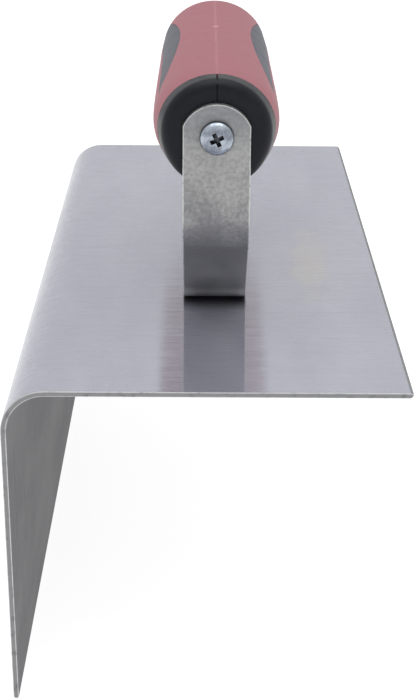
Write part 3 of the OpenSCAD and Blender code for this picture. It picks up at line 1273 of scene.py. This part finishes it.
@dataclass
class Bracket:
    """The bent strip that carries the handle, with the rivets in its foot."""

    strip: float = 3.2 * MM
    upper_bend: float = 16 * MM
    lower_bend: float = 12 * MM
    bend_start: float = 38.8 * MM
    end_radius: float = 10.6 * MM
    foot_length: float = 48 * MM
    screw_hole: float = 2.6 * MM
    arris: float = 0.36 * MM
    bend_steps: int = 10
    bend: float = math.pi / 4
    rivet_head: float = 4.5 * MM
    rivet_rise: float = 2.2 * MM
    rivet_shank: float = 2.4 * MM
    rivet_flush: float = Blade.countersink_radius
    countersink: float = Blade.countersink

    def build_strip(self, finishes: Finishes) -> bpy.types.Object:
        """Bends the strip, rounds its ends and drills it.

        Args:
            finishes: The materials.

        Returns:
            The bracket.
        """
        low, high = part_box("bracket")
        width = high.x - low.x
        Bench.clear()
        bpy.ops.mesh.primitive_plane_add(size=1.0, location=(0, low.y + self.strip / 2, high.z))
        bpy.context.object.scale = (width, self.strip, 1)
        bracket = Bench.settle("bracket_strip")
        dress(bracket, finishes.strip, finishes.strip_edge)
        Bench.edit(bracket)
        Bench.extrude(Vector((0, 0, self.bend_start - high.z)))
        upper = Vector((0, low.y + self.upper_bend, self.bend_start))
        bpy.ops.mesh.spin(steps=self.bend_steps, angle=-self.bend, center=upper, axis=(1, 0, 0))
        slope_drop = self.bend_start - self.upper_bend * math.sin(self.bend)
        slope_drop -= low.z + self.lower_bend * (1 - math.cos(self.bend))
        Bench.extrude(Vector((0, slope_drop, -slope_drop)))
        foot_start = high.y - self.foot_length
        lower = Vector((0, foot_start, low.z + self.lower_bend))
        bpy.ops.mesh.spin(steps=self.bend_steps, angle=-self.bend, center=lower, axis=(1, 0, 0))
        Bench.extrude(Vector((0, self.foot_length, 0)))
        Bench.mend(bracket)
        self._round_end(bracket, Turn.TO_REAR, Vector((0, low.y, high.z)), Vector((0, 0, -1)))
        self._round_end(bracket, Turn.UP, Vector((0, high.y, low.z)), Vector((0, -1, 0)))
        self._drill(bracket, low)
        Bench.break_edges(bracket, self.arris)
        Bench.smooth(bracket, 35)
        return bracket

    def _round_end(self, bracket: bpy.types.Object, across: Turn, tip: Vector, inward: Vector) -> None:
        """Cuts one end of the strip to an arc.

        Args:
            bracket: The bent strip.
            across: The direction through the strip's thickness.
            tip: The middle of the end.
            inward: The direction from the tip along the strip.
        """
        centre = tip + inward * self.end_radius
        through = across.matrix().to_3x3() @ Vector((0, 0, 1))
        reach = Vector((20 * MM, 0, 0))
        corners = [
            tip - inward * MM - reach - through * MM,
            centre + reach + through * (self.strip + MM),
        ]
        low = Vector(map(min, *corners))
        high = Vector(map(max, *corners))
        waste = add_box("waste", low, high)
        ends = (-3 * MM, self.strip + 3 * MM)
        Bench.cut(waste, add_rod("round", self.end_radius, ends, across, centre, 128))
        Bench.cut(bracket, waste)

    def _drill(self, bracket: bpy.types.Object, low: Vector) -> None:
        """Drills the screw's hole and the two rivet holes.

        Args:
            bracket: The bent strip.
            low: The bracket's lowest corner.
        """
        through = (-MM, self.strip + MM)
        nut_low, nut_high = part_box("captive_nut")
        screw = Vector((0, low.y, (nut_low.z + nut_high.z) / 2))
        Bench.cut(bracket, add_rod("hole", self.screw_hole, through, Turn.TO_REAR, screw))
        for node in ("rivet_front", "rivet_rear"):
            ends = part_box(node)
            where = Vector((0, (ends[0].y + ends[1].y) / 2, low.z))
            Bench.cut(bracket, add_rod("hole", self.rivet_shank, through, Turn.UP, where))

    def build_rivet(self, node: str) -> bpy.types.Object:
        """Turns one rivet.

        Args:
            node: The CAD node that the rivet stands for.

        Returns:
            The rivet.
        """
        low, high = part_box(node)
        foot_top = high.z - self.rivet_rise
        profile = [
            (self.rivet_flush - 0.08 * MM, 0.02 * MM),
            (self.rivet_flush, 0.1 * MM),
            (self.rivet_shank, self.countersink),
            (self.rivet_shank, foot_top),
            (self.rivet_head, foot_top),
            (self.rivet_head, foot_top + 0.25 * MM),
        ]
        profile += dome(self.rivet_head, foot_top + 0.25 * MM, self.rivet_rise - 0.25 * MM, 2.2)
        where = Vector((0, (low.y + high.y) / 2, 0))
        rivet = turn_piece(node + "_turned", profile, Turn.UP, where)
        Bench.smooth(rivet, 40)
        return rivet

    def finish(self, finishes: Finishes) -> None:
        """Builds the bracket and its rivets, dresses them and hands them over.

        Args:
            finishes: The materials.
        """
        bracket = self.build_strip(finishes)
        hand_over(bracket, "bracket_steel", "bracket")
        for node in ("rivet_front", "rivet_rear"):
            rivet = self.build_rivet(node)
            dress(rivet, finishes.rivet)
            hand_over(rivet, "rivet_steel", node)


# ---------------------------------------------------------- screw and nut


@dataclass
class HandleScrew:
    """The cross-recess pan-head screw and the nut that it runs into."""

    head_radius: float = 4.9 * MM
    head_rise: float = 2.9 * MM
    rim: float = 0.55 * MM
    shank_radius: float = 2.4 * MM
    length: float = 25.4 * MM
    wing: float = 5.0 * MM
    slot: float = 1.45 * MM
    depth: float = 1.9 * MM
    taper: float = 0.55
    turned: float = math.radians(25)

    def build(self, finishes: Finishes) -> bpy.types.Object:
        """Turns the screw and cuts its recess.

        Args:
            finishes: The materials.

        Returns:
            The screw.
        """
        profile = [
            (0.62 * self.shank_radius, -self.length),
            (self.shank_radius, -self.length + 0.9 * MM),
            (self.shank_radius, 0),
            (self.head_radius - 0.1 * MM, 0),
            (self.head_radius, 0.1 * MM),
            (self.head_radius, self.rim),
        ]
        profile += dome(self.head_radius, self.rim, self.head_rise - self.rim, 2.35, 12)
        screw = turn_piece("pan_head_screw", profile, Turn.UP, Vector(), 72)
        dress(screw, finishes.zinc, finishes.recess)
        for quarter, deeper in ((0.0, 0.0), (math.pi / 2, 0.03 * MM)):
            Bench.cut(screw, self._recess_bar(self.turned + quarter, self.depth + deeper))
        self._number_recess(screw)
        low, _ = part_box("bracket")
        nut_low, nut_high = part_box("captive_nut")
        Bench.place(screw, Turn.TO_FRONT, Vector((0, low.y, (nut_low.z + nut_high.z) / 2)))
        Bench.smooth(screw, 40)
        return screw

    def _number_recess(self, screw: bpy.types.Object) -> None:
        """Gives the recess and the head's shaded rim the second material.

        Args:
            screw: The screw, with its head up.
        """
        reach = 0.56 * self.wing
        rim = 0.975 * self.head_radius
        lowest = self.head_rise - self.depth - 0.1 * MM
        well_down = self.head_rise - 0.7 * self.depth
        for face in screw.data.polygons:
            out, up = face.center.xy.length, face.center.z
            steep_or_deep = face.normal.z < 0.7 or up < well_down
            if out > rim or (out < reach and up > lowest and steep_or_deep):
                face.material_index = 1

    def _recess_bar(self, angle: float, depth: float) -> bpy.types.Object:
        """Makes the tapered bar that cuts two of the recess's wings.

        Args:
            angle: How far the bar is turned about the screw's axis.
            depth: How deep it cuts from the top of the head.

        Returns:
            The bar.
        """
        floor = self.head_rise - depth
        high = Vector((self.wing / 2, self.slot / 2, self.head_rise + MM))
        bar = add_box("recess", Vector((-high.x, -high.y, floor)), high)
        Bench.edit(bar)
        Bench.select_points(bar, lambda point: point.z < floor + TINY)
        Bench.resize(Vector((self.taper, 0.62, 1)), Vector((0, 0, floor)))
        Bench.clear()
        Bench.pick(bar)
        bar.matrix_world = Matrix.Rotation(angle, 4, "Z")
        bpy.ops.object.transform_apply(location=True, rotation=True, scale=True)
        return bar

    def finish(self, finishes: Finishes) -> None:
        """Builds the screw, dresses it and the nut, and hands the screw over.

        Args:
            finishes: The materials.
        """
        screw = self.build(finishes)
        hand_over(screw, "zinc_plate", "handle_screw")
        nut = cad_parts["captive_nut"]
        dress(nut, finishes.zinc)
        LOG.info("captive_nut: the CAD node, with its own finish")


# ------------------------------------------------------------------ handle


@dataclass(frozen=True)
class GripShape:
    """The handle's outer form, as sections across its length."""

    front: float
    length: float
    axis_z: float
    side: float = 18.75 * MM
    top: float = 15.8 * MM
    bottom: float = 16.8 * MM
    face_round: float = 3.0 * MM
    dome_power: float = 2.5
    dome_stop: float = 0.9995
    sides: int = 80

    # share of the length, then side, top and bottom as shares of the greatest
    STATIONS = (
        (0.000, 0.82, 0.98, 0.98),
        (0.045, 0.90, 0.99, 1.00),
        (0.103, 0.98, 1.00, 1.00),
        (0.176, 1.00, 1.00, 0.98),
        (0.366, 1.00, 1.00, 0.95),
        (0.586, 0.99, 1.00, 1.01),
        (0.733, 0.985, 1.005, 1.025),
        (0.864, 0.96, 1.02, 0.99),
    )

    def _slope(self, i: int, column: int) -> float:
        """Returns the slope of a column at one station.

        Args:
            i: The station's number.
            column: The column.

        Returns:
            The slope.
        """
        before = self.STATIONS[max(i - 1, 0)]
        after = self.STATIONS[min(i + 1, len(self.STATIONS) - 1)]
        return (after[column] - before[column]) / (after[0] - before[0])

    def _value(self, share: float, column: int) -> float:
        """Returns a column's smooth value between stations.

        Args:
            share: The place along the handle, from 0 to 1.
            column: The column.

        Returns:
            The value.
        """
        last = len(self.STATIONS) - 2
        i = max(k for k in range(last + 1) if k == 0 or share >= self.STATIONS[k][0])
        start, stop = self.STATIONS[i], self.STATIONS[i + 1]
        width = stop[0] - start[0]
        t = (share - start[0]) / width
        return (
            (2 * t**3 - 3 * t**2 + 1) * start[column]
            + (t**3 - 2 * t**2 + t) * width * self._slope(i, column)
            + (3 * t**2 - 2 * t**3) * stop[column]
            + (t**3 - t**2) * width * self._slope(i + 1, column)
        )

    def half_sizes(self, along: float, inside: float) -> tuple[float, float, float]:
        """Gives the section at one place.

        Args:
            along: The distance behind the collar's face.
            inside: How far the skin lies inside the outer surface.

        Returns:
            Half the width, the height above the axis and the depth below it.
        """
        dome_start = self.STATIONS[-1][0]
        start = dome_start * self.length
        share = min(along / self.length, dome_start)
        t = min(max((along - start) / (self.length - inside - start), 0.0), self.dome_stop)
        close = (1 - t**self.dome_power) ** (1 / self.dome_power)
        lead = max(self.face_round - along, 0.0)
        rounding = self.face_round - math.sqrt(self.face_round**2 - lead**2)
        sizes = (self.side, self.top, self.bottom)
        return tuple(
            (size * self._value(share, column) - inside) * close - rounding
            for column, size in enumerate(sizes, start=1)
        )

    def steps(self, start: float, inside: float, step: float = 3.2 * MM) -> list[float]:
        """Lists the places of the rings from one place to the domed rear end.

        Args:
            start: The first place.
            inside: How far the skin lies inside the outer surface.
            step: The longest step along the straight part.

        Returns:
            The places, each as a distance behind the collar's face.
        """
        dome_at = self.STATIONS[-1][0] * self.length
        count = math.ceil((dome_at - start) / step)
        straight = [start + (dome_at - start) * i / count for i in range(count + 1)]
        depth = self.length - inside - dome_at
        rear = [dome_at + depth * math.sin(math.radians(a)) for a in range(6, 90, 6)]
        return straight + rear + [self.length - inside]

    def face_steps(self) -> list[float]:
        """Lists the places of the rings in the rounding round the face."""
        return [self.face_round * (1 - math.cos(math.radians(a))) for a in range(0, 90, 10)]

    def skin(self, name: str, rings: Sequence[tuple[float, float]]) -> bpy.types.Object:
        """Draws a closed form out along the handle, ring by ring.

        Args:
            name: The form's name.
            rings: The place of each ring, and how far inside the surface it is.

        Returns:
            The form.
        """
        Bench.clear()
        centre = Vector((0, self.front + rings[0][0], self.axis_z))
        bpy.ops.mesh.primitive_circle_add(
            vertices=self.sides, radius=1.0, fill_type="NGON", location=centre, rotation=(math.pi / 2, 0, 0)
        )
        form = Bench.settle(name)
        Bench.edit(form)
        self._fit_ring(form, centre, (1.0, 1.0, 1.0), self.half_sizes(*rings[0]))
        for before, after in zip(rings, rings[1:]):
            Bench.extrude(Vector((0, after[0] - before[0], 0)))
            centre = Vector((0, self.front + after[0], self.axis_z))
            self._fit_ring(form, centre, self.half_sizes(*before), self.half_sizes(*after))
        Bench.clear()
        Bench.mend(form)
        return form

    def _fit_ring(
        self,
        form: bpy.types.Object,
        centre: Vector,
        have: tuple[float, float, float],
        want: tuple[float, float, float],
    ) -> None:
        """Brings the ring that was just drawn out to its section.

        Args:
            form: The form in edit mode, with the ring selected.
            centre: The ring's centre.
            have: The section that the ring has.
            want: The section that it gets.
        """
        side, top, bottom = (b / a for a, b in zip(have, want))
        Bench.resize(Vector((side, 1, top)), centre)
        mesh = bmesh.from_edit_mesh(form.data)
        ring = [point for point in mesh.verts if point.select]
        for point in ring:
            point.select = point.co.z < centre.z - TINY
        mesh.select_flush(False)
        bmesh.update_edit_mesh(form.data, loop_triangles=False, destructive=False)
        Bench.resize(Vector((1, 1, bottom / top)), centre)
        mesh = bmesh.from_edit_mesh(form.data)
        for point in mesh.verts:
            point.select = False
        for point in ring:
            if point.is_valid:
                point.select = True
        mesh.select_flush(True)
        bmesh.update_edit_mesh(form.data, loop_triangles=False, destructive=False)


@dataclass
class Handle:
    """The two-part core with its soft sleeve and side pads."""

    collar: float = 7.5 * MM
    sleeve: float = 3.0 * MM
    pad: float = 1.8 * MM
    slot_depth: float = 1.2 * MM
    ease: float = 0.15 * MM
    hairline: float = 0.12 * MM
    groove: float = 0.5 * MM
    groove_depth: float = 0.8 * MM
    bore: float = Bracket.screw_hole
    crown_radius: float = Bracket.end_radius
    screw_drop: float = 0.5 * MM

    # the pad's outline from the side: share of the length, share of the top height
    PAD_EDGE = (
        (0.160, 0.41), (0.195, 0.49), (0.240, 0.59), (0.345, 0.70), (0.455, 0.76), (0.586, 0.78),
        (0.700, 0.735), (0.790, 0.65), (0.860, 0.54), (0.886, 0.42), (0.865, 0.31), (0.805, 0.24),
        (0.720, 0.26), (0.585, 0.34), (0.440, 0.39), (0.290, 0.40), (0.190, 0.39),
    )

    def __post_init__(self) -> None:
        """Takes the handle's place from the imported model."""
        face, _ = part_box("core_left")
        _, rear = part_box("grip_sleeve")
        nut_low, nut_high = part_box("captive_nut")
        axis_z = (nut_low.z + nut_high.z) / 2 + self.screw_drop
        self.shape = GripShape(face.y, rear.y - face.y, axis_z)

    def _form(self, name: str, start: float, inside: float) -> bpy.types.Object:
        """Makes the handle's form from one place to its rear end.

        Args:
            name: The form's name.
            start: Where it starts behind the collar's face.
            inside: How far inside the outer surface it lies.

        Returns:
            The form.
        """
        return self.shape.skin(name, [(s, inside) for s in self.shape.steps(start, inside)])

    def _outline(self, flank: Flank, margin: float) -> bpy.types.Object:
        """Draws a pad's outline and extends it into a bar out of the handle's flank.

        Args:
            flank: The flank that the bar comes out of.
            margin: How far the bar's sides lie inside the outline.

        Returns:
            The bar.
        """
        shape = self.shape
        curve = bpy.data.curves.new("pad_outline", "CURVE")
        curve.dimensions = "3D"
        spline = curve.splines.new("POLY")
        points = self._smooth_outline()
        spline.points.add(len(points) - 1)
        for point, (share, height) in zip(spline.points, points):
            point.co = (0, shape.front + share * shape.length, shape.axis_z + height * shape.top, 1)
        spline.use_cyclic_u = True
        bar = bpy.data.objects.new("pad_bar_" + flank.word, curve)
        bpy.context.scene.collection.objects.link(bar)
        Bench.pick(bar)
        bpy.ops.object.convert(target="MESH")
        bar = bpy.context.view_layer.objects.active
        Bench.edit(bar)
        bpy.ops.mesh.edge_face_add()
        if margin > 0:
            bpy.ops.mesh.inset(thickness=margin, depth=0, use_even_offset=True)
            bpy.ops.mesh.select_all(action="INVERT")
            bpy.ops.mesh.delete(type="VERT")
            bpy.ops.mesh.select_all(action="SELECT")
        Bench.extrude(Vector((flank.value * 22 * MM, 0, 0)))
        Bench.mend(bar)
        return bar

    def _smooth_outline(self, parts: int = 5) -> list[tuple[float, float]]:
        """Smooths the pad's outline.

        Args:
            parts: How many points each span gets.

        Returns:
            The outline's points, as shares.
        """
        count = len(self.PAD_EDGE)
        smooth = []
        for i in range(count):
            a, b, c, d = (self.PAD_EDGE[(i + k) % count] for k in (-1, 0, 1, 2))
            for t in (j / parts for j in range(parts)):
                smooth.append(
                    tuple(
                        0.5
                        * (
                            2 * b[k]
                            + (c[k] - a[k]) * t
                            + (2 * a[k] - 5 * b[k] + 4 * c[k] - d[k]) * t**2
                            + (3 * b[k] - a[k] - 3 * c[k] + d[k]) * t**3
                        )
                        for k in (0, 1)
                    )
                )
        return smooth

    def build_sleeve(self) -> bpy.types.Object:
        """Moulds the soft sleeve with a pocket for each pad.

        Returns:
            The sleeve.
        """
        sleeve = self._form("soft_sleeve", self.collar + 0.06 * MM, 0.0)
        for flank in Flank:
            pocket = self._outline(flank, 0.0)
            Bench.cut(pocket, self._form("under_pad", self.collar, self.pad))
            Bench.cut(sleeve, pocket)
        Bench.cut(sleeve, self._form("core_space", self.collar - MM, self.sleeve))
        Bench.mend(sleeve)
        Bench.smooth(sleeve, 40, weighted=False)
        return sleeve

    def build_pad(self, flank: Flank) -> bpy.types.Object:
        """Moulds one side pad.

        Args:
            flank: The flank that the pad is on.

        Returns:
            The pad.
        """
        pad = self._form("soft_pad_" + flank.word, self.collar, 0.0)
        Bench.cut(pad, self._outline(flank, self.hairline), Cut.COMMON, "MANIFOLD")
        Bench.cut(pad, self._form("under_pad", self.collar - MM, self.pad), solver="MANIFOLD")
        Bench.mend(pad)
        Bench.smooth(pad, 40, weighted=False)
        return pad

    def build_core(self, flank: Flank) -> bpy.types.Object:
        """Moulds one half of the hard core.

        Args:
            flank: The half's side.

        Returns:
            The half.
        """
        shape = self.shape
        rings = [(s, 0.0) for s in [*shape.face_steps(), shape.face_round, 5 * MM, self.collar]]
        rings += [(s, self.sleeve) for s in shape.steps(self.collar, self.sleeve)]
        core = shape.skin("hard_core_" + flank.word, rings)
        reach = 30 * MM
        corners = (
            Vector((0, shape.front - reach, shape.axis_z - reach)),
            Vector((flank.value * reach, shape.front + shape.length + reach, shape.axis_z + reach)),
        )
        half = add_box("half", Vector(map(min, *corners)), Vector(map(max, *corners)))
        Bench.cut(core, half, Cut.COMMON)
        for tool in (self._slot(), *self._bores(), self._groove()):
            Bench.cut(core, tool)
        Bench.mend(core)
        Bench.smooth(core, 40)
        return core

    def _slot(self) -> bpy.types.Object:
        """Makes the block that cuts the upright's slot in the collar's face.

        Returns:
            The block.
        """
        low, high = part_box("bracket")
        shape = self.shape
        half = high.x + self.ease
        floor = shape.front + self.slot_depth
        centre = Vector((0, floor, high.z - self.crown_radius))
        corner = Vector((half, floor, centre.z))
        slot = add_box("slot", Vector((-half, shape.front - MM, shape.axis_z - 30 * MM)), corner)
        depth = self.slot_depth + MM
        crown = add_rod("crown", self.crown_radius + self.ease, (0, depth), Turn.TO_FRONT, centre, 128)
        trim = add_box(
            "trim",
            Vector((-half, shape.front - 2 * MM, centre.z - MM)),
            Vector((half, floor + MM, high.z + 3 * MM)),
        )
        Bench.cut(crown, trim, Cut.COMMON)
        Bench.cut(slot, crown, Cut.JOINED)
        return slot

    def _bores(self) -> tuple[bpy.types.Object, bpy.types.Object]:
        """Makes the rods that cut the screw's bore and the nut's pocket.

        Returns:
            The two rods.
        """
        shape = self.shape
        face = Vector((0, shape.front, shape.axis_z - self.screw_drop))
        low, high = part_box("captive_nut")
        across = (high.z - low.z) / 2 + self.ease
        start = low.y - shape.front
        bore = add_rod("bore", self.bore, (-MM, 26 * MM), Turn.TO_REAR, face)
        ends = (start, high.y - shape.front)
        pocket = add_rod("pocket", across / math.cos(math.pi / 6), ends, Turn.TO_REAR, face, 6)
        corners_sideways = Matrix.Rotation(math.pi / 6, 4, "Y")
        pocket.matrix_world = Matrix.Translation(face) @ corners_sideways @ Matrix.Translation(-face)
        Bench.pick(pocket)
        bpy.ops.object.transform_apply(location=True, rotation=True, scale=True)
        return bore, pocket

    def _groove(self) -> bpy.types.Object:
        """Makes the thin frame that cuts the parting groove round the collar.

        Returns:
            The frame.
        """
        shape = self.shape
        half = self.groove / 2
        reach = 30 * MM
        plate = add_box(
            "groove",
            Vector((-half, shape.front - MM, shape.axis_z - reach)),
            Vector((half, shape.front + self.collar, shape.axis_z + reach)),
        )
        depth = self.groove_depth
        rings = [
            (depth, depth + 1.5 * MM),
            (2 * depth, depth + 0.3 * MM),
            (6 * MM, depth),
            (self.collar + MM, depth),
        ]
        Bench.cut(plate, shape.skin("plug", rings))
        return plate

    def finish(self, finishes: Finishes) -> None:
        """Builds the handle's pieces, dresses them and hands them over.

        Args:
            finishes: The materials.
        """
        sleeve = self.build_sleeve()
        dress(sleeve, finishes.sleeve)
        hand_over(sleeve, "soft_sleeve", "grip_sleeve")
        for flank in Flank:
            pad = self.build_pad(flank)
            dress(pad, finishes.pad)
            hand_over(pad, "soft_pad", "pad_" + flank.word)
            core = self.build_core(flank)
            dress(core, finishes.core)
            hand_over(core, "hard_core", "core_" + flank.word)


# ------------------------------------------------------------------ studio


@dataclass(frozen=True)
class SoftBox:
    """One large soft light that points at the trowel."""

    name: str
    place: tuple[float, float, float]
    size: float
    power: float

    def build(self, target: Vector) -> None:
        """Adds the light.

        Args:
            target: What it points at.
        """
        lamp = bpy.data.lights.new(self.name, "AREA")
        lamp.shape = "SQUARE"
        lamp.size = self.size
        lamp.energy = self.power
        stand = bpy.data.objects.new(self.name, lamp)
        stand.location = self.place
        stand.rotation_euler = (target - stand.location).to_track_quat("-Z", "Y").to_euler()
        bpy.context.scene.collection.objects.link(stand)


@dataclass
class Studio:
    """Pale floor, soft light and the camera."""

    camera_place: tuple[float, float, float] = (-4.101 * MM, -503.968 * MM, 174.637 * MM)
    pitch: float = 0.402180
    yaw: float = 0.004534
    roll: float = 0.007535
    lens: float = 77.78
    floor_size: float = 12.0
    floor_tone: Colour = shade(0.26, 0.26, 0.26)
    floor_haze: Colour = shade(0.34, 0.34, 0.34)
    floor_glow: float = 0.88
    lights: tuple[SoftBox, ...] = (SoftBox("overhead", (0.0, -0.1, 1.6), 1.6, 12.0),)

    def build(self) -> None:
        """Builds the floor, the light and the camera."""
        self._floor()
        self._sky()
        for light in self.lights:
            light.build(Vector((0, 0, 0)))
        self._camera()
        bpy.context.scene.view_settings.view_transform = "Standard"

    def _floor(self) -> None:
        """Lays the floor that the side leaf's edge stands on."""
        Bench.clear()
        bpy.ops.mesh.primitive_plane_add(size=self.floor_size, location=(0, 0, CAD_BOX[0].z - 0.2 * MM))
        floor = Bench.settle("floor")
        material, tree, shader = start_material("floor")
        here = tree.coordinates()
        haze = tree.add("ShaderNodeTexNoise", {"Vector": here, "Scale": 3.0, "Detail": 2.0})
        pale = tree.blend(haze.outputs[0], self.floor_tone, self.floor_haze)
        tree.feed(shader.inputs["Base Color"], pale)
        shader.inputs["Roughness"].default_value = 0.9
        shader.inputs["Specular IOR Level"].default_value = 0.1
        shader.inputs["Emission Color"].default_value = shade(1.0, 1.0, 1.0)
        shader.inputs["Emission Strength"].default_value = self.floor_glow
        dress(floor, material)

    @staticmethod
    def _sky() -> None:
        """Lights the studio from all round, a little more from above."""
        world = bpy.data.worlds.new("studio")
        world.use_nodes = True
        tree = Tree(world.node_tree)
        tree.tree.nodes.clear()
        direction = tree.add("ShaderNodeTexCoord").outputs["Generated"]
        _, _, up = tree.split(direction)
        glow = tree.blend(tree.ramp(up, 0.0, 0.9), shade(0.86, 0.865, 0.88), shade(1.0, 1.0, 1.0))
        sky = tree.add("ShaderNodeBackground", {"Color": glow, "Strength": 1.0})
        output = tree.add("ShaderNodeOutputWorld")
        tree.feed(output.inputs["Surface"], sky.outputs[0])
        bpy.context.scene.world = world

    def _camera(self) -> None:
        """Puts the camera at its place and makes it the scene's own."""
        ahead = Vector(
            (
                math.sin(self.yaw) * math.cos(self.pitch),
                math.cos(self.yaw) * math.cos(self.pitch),
                -math.sin(self.pitch),
            )
        )
        level = Vector((math.cos(self.yaw), -math.sin(self.yaw), 0))
        upright = level.cross(ahead)
        right = level * math.cos(self.roll) + upright * math.sin(self.roll)
        above = upright * math.cos(self.roll) - level * math.sin(self.roll)
        data = bpy.data.cameras.new("camera")
        data.lens = self.lens
        data.sensor_width = 36.0
        data.clip_start, data.clip_end = 0.01, 50.0
        camera = bpy.data.objects.new("camera", data)
        turned = Matrix((right, above, -ahead)).transposed().to_4x4()
        camera.matrix_world = Matrix.Translation(self.camera_place) @ turned
        bpy.context.scene.collection.objects.link(camera)
        bpy.context.scene.camera = camera


def main() -> None:
    """Builds the trowel's pieces and its studio."""
    logging.basicConfig(level=logging.INFO, format="%(name)s: %(message)s")
    finishes = Finishes()
    for part in (Blade(), Bracket(), HandleScrew(), Handle()):
        part.finish(finishes)
    Studio().build()


if __name__ == "__main__":
    main()
